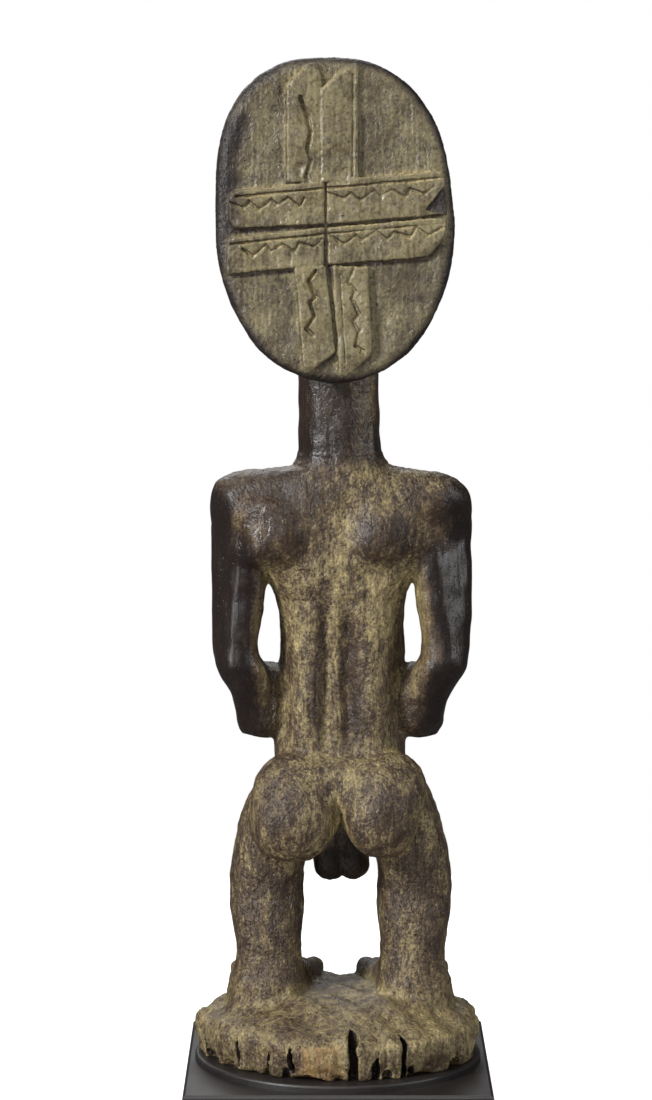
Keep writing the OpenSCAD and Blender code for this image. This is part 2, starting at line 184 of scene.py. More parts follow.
class Clay:
    """Signed distances on a regular grid, or on the block that a cut takes out of one: wood is negative."""

    def __init__(self, axes, step, cut=None, field=None):
        self.axes, self.step, self.cut = axes, step, cut
        self.field = np.full([len(a) for a in axes], FAR, np.float32) if field is None else field

    @classmethod
    def over(cls, low, high, step):
        """An empty grid over a box."""
        return cls([np.arange(a, b + step, step, dtype=np.float32) for a, b in zip(low, high)], step)

    def window(self, low, high):
        """The cut that takes out the part of the grid in a box, and that part's x, y and z."""
        cut = tuple(slice(max(np.searchsorted(a, lo) - 1, 0), np.searchsorted(a, hi) + 1)
                    for a, lo, hi in zip(self.axes, low, high))
        return cut, *broadcast([a[c] for a, c in zip(self.axes, cut)])

    def add(self, form, blend=4.0):
        """Lay a form on, with a fillet as wide as blend."""
        low, high, distance = form
        cut, x, y, z = self.window(low - blend - self.step, high + blend + self.step)
        self.field[cut] = smooth_min(self.field[cut], distance(x, y, z), blend)

    def carve(self, form, blend=1.5):
        """Cut a form away, with edges rounded over blend."""
        low, high, distance = form
        cut, x, y, z = self.window(low - blend - self.step, high + blend + self.step)
        self.field[cut] = smooth_max(self.field[cut], -distance(x, y, z), blend)

    def patch(self, low, high):
        """An empty block on the same grid, only as large as the box."""
        cut = self.window(low, high)[0]
        return Clay([a[c] for a, c in zip(self.axes, cut)], self.step, cut)

    def twin(self, field):
        """Another field on this same block."""
        return Clay(self.axes, self.step, self.cut, field)

    def sample(self, points):
        """The field at any points, blended from the grid's eight round each."""
        total = np.zeros(len(points), np.float32)
        spots = [(points[:, i] - self.axes[i][0]) / self.step for i in range(3)]
        base = [np.clip(np.floor(s).astype(int), 0, n - 2) for s, n in zip(spots, self.field.shape)]
        part = [np.clip(s - b, 0, 1) for s, b in zip(spots, base)]
        for corner in range(8):
            up = (corner & 1, corner >> 1 & 1, corner >> 2)
            weight = np.ones(len(points), np.float32)
            for i in range(3):
                weight *= part[i] if up[i] else 1 - part[i]
            total += weight * self.field[base[0] + up[0], base[1] + up[1], base[2] + up[2]]
        return total

    def mesh(self, name):
        """The wood's surface as a mesh, in millimetres."""
        band = 3 * self.step
        grid = openvdb.FloatGrid(band)
        grid.copyFromArray(np.clip(self.field, -band, band))
        points, quads = grid.convertToQuads(0.0)
        points = np.asarray(points) * self.step + np.array([a[0] for a in self.axes])
        return mesh_of(name, points, np.asarray(quads))


def mesh_of(name, points, quads):
    """A mesh of four-sided faces, from arrays of points and of corner numbers."""
    mesh = bpy.data.meshes.new(name)
    mesh.vertices.add(len(points))
    mesh.vertices.foreach_set("co", points.astype(np.float32).ravel())
    mesh.loops.add(quads.size)
    mesh.loops.foreach_set("vertex_index", quads.astype(np.int32).ravel())
    mesh.polygons.add(len(quads))
    mesh.polygons.foreach_set("loop_start", np.arange(len(quads), dtype=np.int32) * 4)
    mesh.update(calc_edges=True)
    mesh.validate()
    return mesh


def new_object(name, data):
    """An object in the scene that shows a mesh, a light or a camera."""
    item = bpy.data.objects.new(name, data)
    bpy.context.scene.collection.objects.link(item)
    return item


def read(items, key, width):
    """A property of vertices, faces or points as a numpy array."""
    out = np.zeros(len(items) * width, np.float32)
    items.foreach_get(key, out)
    return out.reshape(-1, width) if width > 1 else out


def points_and_normals(mesh):
    return read(mesh.vertices, "co", 3), read(mesh.vertices, "normal", 3)


def move_points(mesh, points):
    mesh.vertices.foreach_set("co", points.astype(np.float32).ravel())
    mesh.update()


# ---------- the masses of the carving ----------

# Drying cracks in the base: [angle in degrees, width, reach inwards, lowest z, highest z, lean].
CRACKS = [(95.6, 6.8, 15, 49, SEAT + 60, 0.02), (68, 3.0, 14, 55, SEAT + 23, 0.05),
          (118, 3.6, 15, 49, SEAT + 28, -0.04), (164, 5.0, 12, 52, SEAT + 24, 0.1),
          (106, 2.0, 9, 55, SEAT + 18, -0.02), (57, 2.4, 9, 55, SEAT + 19, 0.02),
          (40, 2.2, 15, 52, SEAT + 22, 0.05), (15, 3.0, 12, 49, SEAT + 20, -0.08),
          (-40, 3.5, 18, 49, SEAT + 30, 0.03), (-95, 2.5, 16, 49, SEAT + 26, -0.05),
          (-140, 4.5, 20, 49, SEAT + 30, 0.06), (-170, 2.0, 12, 52, SEAT + 20, 0.0)]
# Notches broken out of the rim's lower edge: [angle in degrees, width, height, reach inwards].
CHIPS = [(55, 10, 7.5, 9), (47, 13, 4, 7), (105, 6, 12, 7), (111, 7, 6, 6), (75, 24, 3.5, 8),
         (128, 16, 4, 8), (89, 7, 4, 6), (65, 7, 8, 7), (122, 6, 8, 7), (34, 15, 5, 9), (20, 18, 7, 8),
         (146, 14, 8, 10), (-20, 20, 5, 8), (-62, 16, 6, 9), (-80, 9, 9, 7), (-118, 22, 5, 9),
         (-155, 12, 9, 8), (176, 18, 5, 8)]


def carve_base(clay):
    """The worn round base: a rim with drying cracks and broken teeth, and a sloping top."""
    half_w, half_d, middle = 93.0, 85.0, (-2.0, 0.0)
    crown, rim = SEAT + 42.0, SEAT + 27.0
    cut, x, y, z = clay.window((-98, -92, SEAT - 3), (98, 92, SEAT + 50))
    dx, dy = x - middle[0], y - middle[1]
    angle = np.arctan2(dy, dx)
    wave = (1.2 * np.cos(3 * angle + 0.7) + 1.1 * np.cos(5 * angle - 0.35) + 0.8 * np.cos(9 * angle + 1.2)
            + 0.5 * np.cos(17 * angle + 2.0))
    rho = np.sqrt((dx / half_w)**2 + (dy / half_d)**2)
    side = (rho - 1) * half_d - wave
    bulge = 1.5 * ramp(z, SEAT + 14, SEAT) + 2.0 * ramp(z, rim - 4, rim + 6)
    lumps = 1.2 * np.cos(x * 0.11 + 1) * np.cos(y * 0.09) + 0.9 * np.cos(x * 0.23 + y * 0.19)
    top = crown - (crown - rim) * ramp(rho, 0.42, 1.02) + lumps - 2.0 * ramp(rho, 0.9, 1.0)
    block = -smooth_min(-(side + bulge), -(z - top) * 0.95, 7.0)
    block = np.maximum(block, SEAT - z)
    clay.field[cut] = smooth_min(clay.field[cut], block, 0)

    def outwards(around):
        """From an angle: the distance out and the distance across, and how far out the rim is."""
        a = math.radians(around)
        rim_at = 1 / math.sqrt((math.cos(a) / half_w)**2 + (math.sin(a) / half_d)**2)
        return dx * math.cos(a) + dy * math.sin(a), -dx * math.sin(a) + dy * math.cos(a), rim_at

    for around, width, reach, low, high, lean in CRACKS:
        away, across, rim_at = outwards(around)
        across = across + lean * (z - SEAT) + 0.4 * np.sin(z * 0.35 + around) + 0.5 * np.sin(away * 0.3)
        inner = rim_at - reach
        opened = np.clip((away - inner) / (0.45 * reach), 0, 1)
        gap = np.abs(across) - (width / 2 * opened * ramp(z, high + 2, high - 8) + 0.05)
        gap = np.maximum(gap, np.maximum(inner - away, low - z))
        clay.field[cut] = np.maximum(clay.field[cut], -gap)
    for around, width, height, reach in CHIPS:
        away, across, rim_at = outwards(around)
        up = (z - SEAT) / height
        gap = np.sqrt((across / (width / 2))**2 + up**2 + ((away - rim_at) / reach)**2) - 1
        clay.field[cut] = smooth_max(clay.field[cut], -gap * min(width / 2, height), 1.0)


def foot(side):
    """Forms of one foot: side is 1 for the figure's left and -1 for its right."""
    x = BODY_X + side * 48
    low = SEAT + 26
    parts = [
        (stack([(low, x, 28, -52, 31), (SEAT + 40, x, 27, -54, 30), (SEAT + 48, x, 25, -48, 28),
                (SEAT + 56, x - side, 22, -38, 25), (ANKLE - 2, x - side, 20.5, -26, 24),
                (ANKLE + 8, x - side, 18.5, -18, 20)], 0.35), 4.0)]
    for toe in range(5):
        across = x + side * (-21 + toe * 10.2)
        reach = -66 + abs(toe - 0.6) * 3.4
        fat = 6.4 if toe == 0 else 5.2
        parts.append((rod((across, -40, SEAT + 46), (across, reach + fat, SEAT + 40), fat + 0.8, fat), 2.2))
    parts.append((rod((x - side * 24, -26, SEAT + 44), (x - side * 30, -58, SEAT + 42), 8.0, 7.0), 3.0))
    return parts


def leg(side):
    """One leg, with its thigh running up into the hips. The right one stands 1 mm further out."""
    x = BODY_X if side > 0 else BODY_X - 1.0
    shin = [(-14, 48.5, 24, -26, 27), (-4, 47.8, 21.5, -22, 24), (8, 47.8, 21.2, -23, 23),
            (22, 48.2, 22.8, -27, 22.5), (34, 48.4, 24.3, -31, 20.5), (46, 48.6, 24.7, -33, 18)]
    thigh = [(-6, 48.2, 24.4, -33, 19), (8, 46, 24.8, -33, 21), (24, 40.5, 26.5, -33, 23),
             (40, 33, 28, -33, 24), (58, 26, 25, -32, 23)]
    stations = [(start + z, x + side * out, half, front, back)
                for start, rows in ((ANKLE, shin), (HIP, thigh)) for z, out, half, front, back in rows]
    knee = rod((x + side * 48, -25, HIP - 27), (x + side * 48, -25, HIP - 17), 10.5, 10.5)
    return [(stack(stations, 0.28), 5.0), (knee, 9.0)]


def pelvis():
    """Hips and buttocks."""
    hips = stack(levels(HIP, [
        (12, 0, 44, -30, 22), (20, 0, 64, -34, 24), (30, 0, 65.8, -36, 25), (40, 0, 62.6, -37, 26),
        (50, 0, 57.8, -38, 26), (58, 0, 51.5, -38, 24), (64, 0, 45, -38, 21), (72, 0, 34, -34, 13)]), 0.22)
    return [
        (hips, 5.0),
        (ball((BODY_X + 30.5, 22, HIP + 34), (27.5, 27, 28), 2.2), 4.5),
        (ball((BODY_X + 28, 14, HIP + 54), (28, 24, 24)), 12.0),
        (ball((BODY_X - 26, 21, HIP + 36), (25, 27, 27), 2.2), 5.5),
        (ball((BODY_X - 28, 14, HIP + 55), (28, 24, 24)), 14.0),
        (ball((BODY_X, 20, HIP + 58), (30, 13, 16)), 8.0)]


def groin():
    """What hangs between the legs, in three forms."""
    return [
        (rod((BODY_X + 8, -10, HIP + 12), (BODY_X + 7, -12, HIP - 3.5), 11, 10.2, (1, 1.1, 1)), 2.0),
        (rod((BODY_X - 8, -10, HIP + 12), (BODY_X - 9, -12, HIP - 2.5), 11, 10.6, (1, 1.1, 1)), 2.0),
        (rod((BODY_X, -25, HIP + 16), (BODY_X, -32, HIP - 2), 6.5, 6.2), 2.5)]


def torso():
    """Trunk and shoulders, with the blades and the loins' ridges behind, and breast and belly in front."""
    x = BODY_X
    trunk = stack(levels(WAIST, [
        (-8, 0, 41.5, -38, 20), (0, 0, 42.8, -41, 20.5), (14, 0, 43.6, -48, 19.5),
        (36, -0.3, 43.2, -55, 18.5), (56, -0.8, 42.4, -56, 18.5), (76, -1.6, 41.4, -51, 20),
        (94, -1.2, 41.0, -45, 22.5), (110, -0.2, 43.0, -40, 26), (122, 0, 47.5, -37, 29),
        (134, 0, 54, -35, 31), (152, 0, 60, -34, 32), (168, 0, 61, -32, 32), (180, 0, 56, -29, 31),
        (190, 0, 42, -25, 29)]) + levels(COLLAR, [(-1, 0, 30.5, -24, 28), (6, 0, 26, -23, 26)]), 0.25)
    yoke = stack(levels(COLLAR, [
        (-62, 0, 56, -32, 28), (-46, 0, 68, -30, 28), (-32, -0.5, 79, -27, 28), (-22, -0.5, 81, -25, 28),
        (-14, 0, 78.5, -23, 27), (-9, 1, 73, -22, 26), (-5, 1, 61, -21, 25), (-2, 0, 44, -21, 25),
        (1, 0, 29, -21, 25)]), 0.3)
    loins = [(rod((x + side * 20, 9, WAIST + 2), (x + side * 18, 10, WAIST + 100), 11.5, 12.5), 7.0)
             for side in (-1, 1)]
    blades = [(ball((x + 46, 13, WAIST + 157), (31, 25, 24), 2.5), 5.0),
              (ball((x + 60, 6, WAIST + 170), (24, 17, 26)), 14.0),
              (ball((x - 24, 14, WAIST + 156), (25, 23.5, 23), 2.5), 5.0),
              (ball((x - 58, 8, WAIST + 168), (25, 18, 27)), 14.0)]
    breast = [(ball((x + side * 27, -26, WAIST + 146), (28, 15, 20)), 10.0) for side in (1, -1)]
    belly = [(ball((x, -46, WAIST + 48), (34, 14, 36)), 12.0),
             (ball((x, -60.5, WAIST + 45), (5, 4, 5)), 3.0)]
    return [(trunk, 4.0), (yoke, 6.0)] + loins + blades + breast + belly


def arm(side):
    """Upper arm, elbow, forearm and hand. The right arm reaches 1 mm further out."""
    out = 85.2 if side > 0 else 86.2
    sections = [         # z above the waist, inner and outer x, front y, back y
        (18, 47, 65, -26, -8), (23, 43, 67.5, -26, -2), (32, 42, 69, -22, 5), (40, 42.5, 70.5, -20, 10),
        (48, 45, out - 12.5, -18, 15), (56, 46, out - 8, -16, 19), (65, 48.5, out - 3.4, -16, 22.5),
        (72, 52.5, out - 2, -17, 24), (79, 54.0, out - 1, -17, 25), (95, 52, out, -17, 25),
        (111, 49.5, out + 0.3, -17, 25.5), (124, 48, out + 0.6, -18, 26), (140, 48, out + 0.6, -18, 26.5),
        (160, 50, out + 0.4, -19, 27), (172, 52, out - 1.4, -18, 26), (182, 54, out - 5.5, -15, 23),
        (188, 56, out - 11, -12, 20)]
    upper = stack([(WAIST + z, BODY_X + side * (inner + outer) / 2, (outer - inner) / 2, front, back)
                   for z, inner, outer, front, back in sections], 0.3)

    def point(out_x, y, z):
        return (BODY_X + side * out_x, y, WAIST + z)
    forearm = [
        (ball(point(49, -20, 40.5), (14.5, 27, 23.5), 3.2), 6.0),
        (rod(point(53, -24, 38), point(45, -42, 34), 12, 11, (0.95, 0.9, 1.5)), 6.0),
        (rod(point(45, -45, 33), point(35, -53, 33), 11, 8.5, (1.0, 0.8, 1.6)), 5.0)]
    fingers = [(rod(point(34, -53.5, 45 - 8.6 * k),
                    point(17 + 1.2 * abs(k - 1.2), -60, 43 - 6.5 * k), 4.7, 3.9), 1.2) for k in range(4)]
    thumb = [(rod(point(40, -47, 50), point(30, -54, 57), 5.2, 4.2), 1.6)]
    return [(upper, 6.0)] + forearm + fingers + thumb


def arm_ridge(clay, side):
    """From the ridge down the back of an arm: how far out, how far back, and how far its faces fade away."""
    x, y, z = broadcast(clay.axes)
    rise = np.clip((z - WAIST - 70) / 80, 0, 1)
    ridge = (71 - 5 * rise) if side > 0 else (71 - 13 * rise)
    fade = 10 * (1 - ramp(z, WAIST + 40, WAIST + 84) * ramp(z, COLLAR - 2, COLLAR - 50))
    return side * (x - BODY_X) - ridge, y - 23.5, fade


def flatten_outside(clay, side):
    """The flat outer face at the back of an arm. It runs on over the shoulder."""
    out, back, fade = arm_ridge(clay, side)
    turn = (0.78, 0.62) if side > 0 else (0.58, 0.81)
    clay.field = smooth_max(clay.field, out * turn[0] + back * turn[1] - fade, 6.0)


def flatten_inside(clay, side):
    """The flat inner face, which meets the outer one in a long soft ridge."""
    out, back, fade = arm_ridge(clay, side)
    clay.field = smooth_max(clay.field, back * 0.985 - out * 0.17 - fade, 5.0)


def neck():
    """The long round neck."""
    return [(stack(levels(COLLAR, [
        (-12, 0, 28.5, -25, 27), (0, -0.4, 27.4, -25, 27), (12, 0, 26.8, -25.5, 26.5),
        (40, 0.6, 26.2, -25.5, 26), (80, 1.2, 26.4, -26, 27)]), 0.1), 5.0)]


# The face is a plain, calm one on the usual proportions: eyes half way up the head, the nose's base
# half way from eyes to chin, and the mouth a third of the way from there down.
CHIN = CROWN - 207.0
HEAD_TOP = CROWN - 12.0
EYES = (CHIN + HEAD_TOP) / 2
NOSE = (CHIN + EYES) / 2 + 2.0
MOUTH = NOSE - (NOSE - CHIN) / 3


def head():
    """Skull, cheeks, brows, nose and chin."""
    forms = [
        (ball((0, 4, EYES + 24), (54, 58, 74)), 4.0),
        (ball((0, -10, EYES - 22), (47, 48, 70)), 22.0),
        (ball((0, 20, EYES + 4), (50, 40, 84)), 14.0),
        (ball((0, -38, CHIN + 12), (20, 17, 13)), 12.0)]
    for side in (-1, 1):
        forms += [
            (ball((side * 31, -36, EYES - 24), (15, 14, 18)), 12.0),
            (rod((side * 7, -55, EYES + 15), (side * 24, -51, EYES + 20), 4.2, 4.0), 7.0),
            (rod((side * 24, -51, EYES + 20), (side * 40, -38, EYES + 13), 4.0, 3.0), 7.0)]
    forms += [
        (rod((0, -52, EYES + 14), (0, -61, NOSE + 9), 4.5, 6.2), 6.0),
        (ball((0, -61.5, NOSE + 5.5), (7.6, 7.4, 6.8)), 5.0),
        (rod((0, -51, NOSE - 2), (0, -51.5, MOUTH + 2), 5.5, 6.5, (1.2, 1, 1)), 7.0),
        (ball((0, -50, MOUTH - 1), (20, 9.5, 13)), 8.0)]
    return forms


def head_features(clay):
    """Eye sockets, lids, lips, ears and the edge of the hair, cut and laid on after the masses."""
    for side in (-1, 1):
        clay.carve(ball((side * 21, -63, EYES + 1), (18, 15, 11)), 8.0)
        clay.add(ball((side * 21, -42.5, EYES), (14.5, 13, 9.2)), 2.5)
        clay.add(ball((side * 7.5, -58, NOSE + 3), (5.4, 6, 5)), 2.5)
        clay.carve(ball((side * 3.8, -63, NOSE - 2.2), (2.2, 3.2, 2.2)), 1.0)
        clay.add(ball((side * 53.5, 4, EYES - 6), (6.5, 12, 21)), 4.0)
        clay.carve(ball((side * 60.5, 1, EYES - 2), (6, 7.5, 13)), 2.0)
        clay.add(rod((side * 56, 2, EYES - 4), (side * 57, -3, EYES - 14), 2.6, 3.2), 2.0)
        for k in range(-8, 8):
            ends = [(side * (21 + 1.55 * t), -56.2 + 0.013 * t * t * 1.6, EYES - 2.6 + 0.05 * t * t)
                    for t in (k, k + 1)]        # the slit under the lowered lid
            clay.carve(rod(*ends, 0.95, 0.95), 0.6)
        clay.add(rod((side * 13, -54.6, MOUTH + 1.4), (0, -58.8, MOUTH + 3.2), 1.8, 3.2), 3.0)
        clay.add(rod((side * 11, -54.8, MOUTH - 2.0), (0, -58.2, MOUTH - 3.4), 1.8, 3.5), 3.0)
    for side in (-1, 1):
        clay.carve(rod((side * 14, -56.2, MOUTH), (0, -61.6, MOUTH - 0.3), 0.7, 0.9), 0.8)
    cut, x, y, z = clay.window((-64, -64, EYES - 30), (64, DISC_FRONT + 8, CROWN))
    hairline = (z - (EYES + 56)) * 0.86 + (y + 44) * 0.62 + 7 * np.cos(x * 0.05)
    cap = np.sqrt((x / 55.8)**2 + ((y - 4) / 59.8)**2 + ((z - EYES - 24) / 75.8)**2)
    hair = np.maximum((cap - 1) * 56, -hairline)
    comb = 0.55 * np.cos(np.arctan2(x, z - EYES + 40) * 44)
    clay.field[cut] = smooth_min(clay.field[cut], hair + comb * ramp(hairline, 2, 8), 1.0)


# ---------- the carving as a whole ----------

def build_masses():
    """The whole grid, still empty, and each named mass on its own block of it, to part the pieces by."""
    whole = Clay.over((-99, -92, SEAT - 4), (99, 92, CROWN + 2), STEP)
    masses = {"carved_base": whole.patch((-99, -92, SEAT - 4), (99, 92, SEAT + 60))}
    carve_base(masses["carved_base"])

    def mass(name, groups):
        low = np.min([form[0] for form, blend in groups], 0) - 9
        high = np.max([form[1] for form, blend in groups], 0) + 9
        clay = masses[name] = whole.patch(low, high)
        for form, blend in groups:
            clay.add(form, blend)
        return clay

    for side, word in ((1, "left"), (-1, "right")):
        mass(f"foot_{word}", foot(side))
        mass(f"leg_{word}", leg(side))
        limb = mass(f"arm_{word}", arm(side))
        flatten_outside(limb, side)
        flatten_inside(limb, side)
    mass("pelvis", pelvis())
    mass("groin", groin())
    under_blades(mass("torso", torso()))
    mass("neck", neck())
    head_features(mass("head", head()))
    return whole, masses


def under_blades(trunk):
    """The hollows under the shoulder blades, and the flat facets across them."""
    for x, z, wide in ((44, 126, 27), (-24, 125, 24)):
        trunk.carve(ball((BODY_X + x, 42, WAIST + z), (wide, 14, 9)), 8.0)
    for side in (1, -1):
        flatten_outside(trunk, side)
    for x, low, high in ((52, 18, 84), (-16, -52, 10)):
        cut, px, py, pz = trunk.window((low, 15, WAIST + 130), (high, 50, WAIST + 200))
        facet = (px - BODY_X - x) * 0.29 + (py - 36.6) * 0.89 + (pz - WAIST - 159) * 0.34
        ends = ramp(px, low + 14, low) + ramp(px, high - 16, high) + ramp(pz, WAIST + 160, WAIST + 200)
        trunk.field[cut] = smooth_max(trunk.field[cut], facet - 16 * ends, 6.0)


# How softly each mass runs into those before it, in millimetres.
JOINS = [("carved_base", 0), ("foot_left", 5), ("foot_right", 5), ("leg_left", 5), ("leg_right", 5),
         ("pelvis", 3.5), ("groin", 1.5), ("torso", 5), ("arm_left", 4), ("arm_right", 4), ("neck", 6),
         ("head", 5)]
# The masses that are parted from the rest by their own outline. Level cuts part the others.
PARTED = ["head", "arm_left", "arm_right", "groin", "foot_left", "foot_right"]


def join_masses(whole, masses):
    """Run the masses together. Returns each parted mass's saw: the region where it is the nearest wood."""
    saws = {}
    for name, blend in JOINS:
        mass = masses[name]
        before = whole.field[mass.cut]
        if name in PARTED:
            saws[name] = mass.twin(np.maximum(mass.field - before, mass.field - 5))
        whole.field[mass.cut] = smooth_min(before, mass.field, blend)
    open_legs(whole, spread(masses["groin"], whole))
    spine(whole)
    cut, x, y, z = whole.window((-33, -30, COLLAR), (33, 30, DISC_Z - DISC_HALF_H + 12))
    flutes = 0.45 * np.cos(7 * np.arctan2(y, x - BODY_X) + 0.4)
    whole.field[cut] -= flutes * ramp(z, COLLAR, COLLAR + 14)
    cut, x, y, z = whole.window((-90, 15, CHIN - 12), (90, 70, CROWN + 2))
    disc = np.maximum(egg(x, z), DISC_FRONT + 1 - y)
    joined = smooth_min(whole.field[cut], disc, 9)
    whole.field[cut] = np.maximum(joined, y - DISC_FRONT - 0.7)
    saws["head"] = widened_saw(saws["head"], whole)
    return saws


def spread(clay, whole):
    """The field of a block laid out over the whole grid, and far from wood everywhere else."""
    field = np.full_like(whole.field, FAR)
    field[clay.cut] = clay.field
    return field


def widened_saw(saw_clay, whole):
    """The head's saw also takes the fillet that runs out on to the disc."""
    wide = whole.patch((-90, -80, CHIN - 12), (90, 70, CROWN + 2))
    x, y, z = broadcast(wide.axes)
    behind = np.maximum(28.5 - y, CHIN - z) + 0 * x
    return wide.twin(np.minimum(spread(saw_clay, whole)[wide.cut], behind))


def open_legs(whole, kept):
    """The arch between the legs and the cleft above it, cut round the field that is kept."""
    low, high, arch = rod((BODY_X - 1, -60, HIP - 6), (BODY_X - 1, 60, HIP - 6), 23.5, 23.5, (1, 1, 0.62))
    cut, x, y, z = whole.window(low - 3, high + (3, 3, 34))
    narrowing = (1 - np.clip((z - HIP - 4) / 33, 0, 1))**1.8
    cleft = (np.abs(x - BODY_X + 0.5) - 23 * narrowing) * 0.8
    cleft = np.maximum(np.maximum(cleft, z - HIP - 38), -3 - y + 0.25 * (z - HIP))
    gap = smooth_min(arch(x, y, z), cleft, 2.0)
    whole.field[cut] = np.minimum(smooth_max(whole.field[cut], -gap, 2.5), kept[cut])


def spine(whole):
    """The groove down the back, with a low ridge in it below the shoulder blades."""
    cut, x, y, z = whole.window((-30, 4, WAIST + 4), (30, 48, COLLAR - 4))
    middle = BODY_X + 2.6
    fade = ramp(z, WAIST + 6, WAIST + 24) * ramp(z, COLLAR - 4, COLLAR - 30)
    ridge = ramp(z, WAIST + 128, WAIST + 96)
    off = np.abs(x - middle)
    broad = 3.0 * np.exp(-(off / 12.5)**2) + 1.9 * ridge * np.exp(-((off - 8) / 3.4)**2)
    raised = ridge * (2.6 * np.exp(-(off / 3.2)**2))
    whole.field[cut] += (broad - raised) * fade * ramp(y, 6, 14)


# Where crust lies thicker or thinner: [x off the body's middle, y, z, radii, amount].
LAID = [(52, 20, WAIST + 190, (38, 30, 16), -0.50), (76, 8, WAIST + 172, (12, 20, 16), 0.34),
        (-55, 18, WAIST + 88, (9, 24, 46), 0.62), (54, 18, WAIST + 86, (9, 24, 46), 0.42),
        (-18, 20, COLLAR + 40, (13, 20, 44), 0.48), (-50, 55, SEAT + 30, (34, 34, 18), 0.18),
        (48, 20, ANKLE + 50, (26, 30, 50), -0.08), (-30, 45, HIP + 36, (26, 30, 26), 0.07),
        (0, 26, WAIST + 128, (44, 30, 14), 0.26), (3, 30, WAIST + 165, (9, 30, 30), 0.18),
        (-38, 25, WAIST + 110, (16, 25, 14), 0.22), (28, 55, HIP + 30, (20, 20, 18), 0.12),
        (-22, 22, WAIST + 92, (14, 20, 20), 0.20), (32, 22, WAIST + 70, (6, 20, 50), 0.15),
        (-26, 22, WAIST + 50, (9, 20, 26), 0.14), (24, 22, WAIST + 88, (7, 20, 12), 0.20),
        (0, 30, WAIST - 2, (40, 22, 12), 0.12), (-44, 25, ANKLE + 24, (7, 14, 26), 0.34),
        (-66, 24, WAIST + 78, (5, 20, 18), 0.35), (2.6, 22, WAIST + 90, (3, 20, 46), 0.26),
        (13, 22, WAIST + 78, (4.5, 20, 40), -0.36), (-8, 22, WAIST + 70, (5, 20, 46), -0.36),
        (36, 22, WAIST + 55, (4, 20, 30), -0.20), (-36, 22, WAIST + 62, (5, 20, 20), -0.18)]
# Where hands have polished it: [x off the body's middle, y, z, radius, strength].
RUBBED = [(44, 38, WAIST + 162, 26, 1.0), (-27, 38, WAIST + 157, 20, 0.9), (-64, 28, WAIST + 172, 20, 0.8),
          (-32, 48, HIP + 42, 17, 0.7), (34, 50, HIP + 34, 14, 0.4), (0, -58, WAIST + 50, 30, 0.8),
          (20, -36, WAIST + 146, 22, 0.6), (-20, -36, WAIST + 146, 22, 0.6)]


def sheltered(clay, points, normals, reaches):
    """How much wood stands close in front of each point, from 0 in the open to 1 deep in a hollow."""
    hidden = np.zeros(len(points))
    for reach in reaches:
        hidden += np.clip(1 - clay.sample(points + normals * reach) / reach, 0, 1) / len(reaches)
    return hidden


def masks(whole, points, normals):
    """What the finish needs at each point: crust, gloss, bare wood and darkness, each from 0 to 1. Crust and
    darkness also carry painted shade beside the arms, in the groin and in the base's cracks.
    """
    hidden = sheltered(whole, points, normals, (2.5, 5.0, 10.0))
    x, y, z = points.T
    off = np.abs(x - BODY_X)
    broad = noise(points, 26, 3)
    middle = noise(points, 9, 5)
    level = np.full(len(points), 0.345)
    level += 0.15 * ramp(z, SEAT + 60, SEAT + 34)            # the base is crusted all over
    level -= 0.08 * ramp(z, ANKLE + 4, ANKLE + 16) * ramp(z, HIP + 14, HIP - 8)
    level -= 0.08 * ramp(z, SEAT + 20, SEAT + 8)
    # painted shade: the torso's flanks are darkened in the gap beside the arms and forearms
    level -= 0.25 * ramp(off, 36, 43) * ramp(y, 14, 4) * ramp(z, WAIST, WAIST + 10)
    level += 0.12 * ramp(normals[:, 2], 0.1, 0.7) * ramp(z, WAIST, COLLAR - 40)
    for px, py, pz, radii, amount in LAID:
        gap = np.linalg.norm((points - (BODY_X + px, py, pz)) / radii, axis=1)
        level += amount * np.exp(-gap**2)
    rubbed = np.zeros(len(points))
    for px, py, pz, radius, strength in RUBBED:
        gap = np.linalg.norm(points - (BODY_X + px, py, pz), axis=1) / radius
        rubbed = np.maximum(rubbed, strength * np.exp(-gap**2))
    arms = ramp(off, 44, 62) * ramp(z, WAIST + 10, WAIST + 20) * ramp(z, COLLAR - 34, COLLAR - 60)
    arms = np.maximum(arms, ramp(off, 62, 76) * ramp(z, WAIST + 10, WAIST + 60))
    arms = arms * ramp(z, COLLAR - 4, COLLAR - 22)
    throat = ramp(z, COLLAR - 2, COLLAR + 10) * ramp(z, CHIN + 14, CHIN - 2)
    # painted shade: the groin, in shadow between the thighs, is darkened to dark wood with less crust
    groin_shade = np.exp(-np.sum(((points - (BODY_X, -15, HIP + 2)) / (21, 26, 24))**4, axis=1))
    rubbed = np.maximum(rubbed, np.maximum(0.65 * arms, 0.6 * throat))
    rubbed = np.maximum(rubbed, 0.72 * ramp(z, CHIN - 4, CHIN + 4))
    dark = np.maximum(np.maximum(arms, groin_shade), np.maximum(0.6 * throat, 0.3 * rubbed))
    # painted shade: the insides of the base's cracks are darkened to black wood and lose their crust
    deep = ramp(hidden, 0.42, 0.66) * ramp(z, SEAT + 50, SEAT + 40)      # inside the base's cracks
    dark = np.maximum(np.clip(dark, 0, 1), deep)
    hidden *= 1 - 0.8 * dark
    crust = level + 0.55 * hidden + 0.06 * broad + 0.05 * middle - 0.40 * rubbed - 0.9 * deep
    crust -= 0.34 * np.maximum(arms, np.maximum(groin_shade, 0.7 * throat))
    gloss = np.clip(rubbed - 0.6 * hidden + 0.12 * middle, 0, 1)
    rim = ramp(z, SEAT + 28, SEAT + 21) * ramp(np.hypot(x, y), 70, 80)
    beside = ramp(np.abs(x - 11), 20, 12) * ramp(y, 50, 60)              # broken out by the main crack
    bare = rim * np.maximum(beside, 0.45 * ramp(noise(points, 22, 8, (1, 1, 0.5)), 0.1, 0.4))
    return {"crust": np.clip(crust, 0, 1), "gloss": gloss, "bare": bare, "dark": dark}


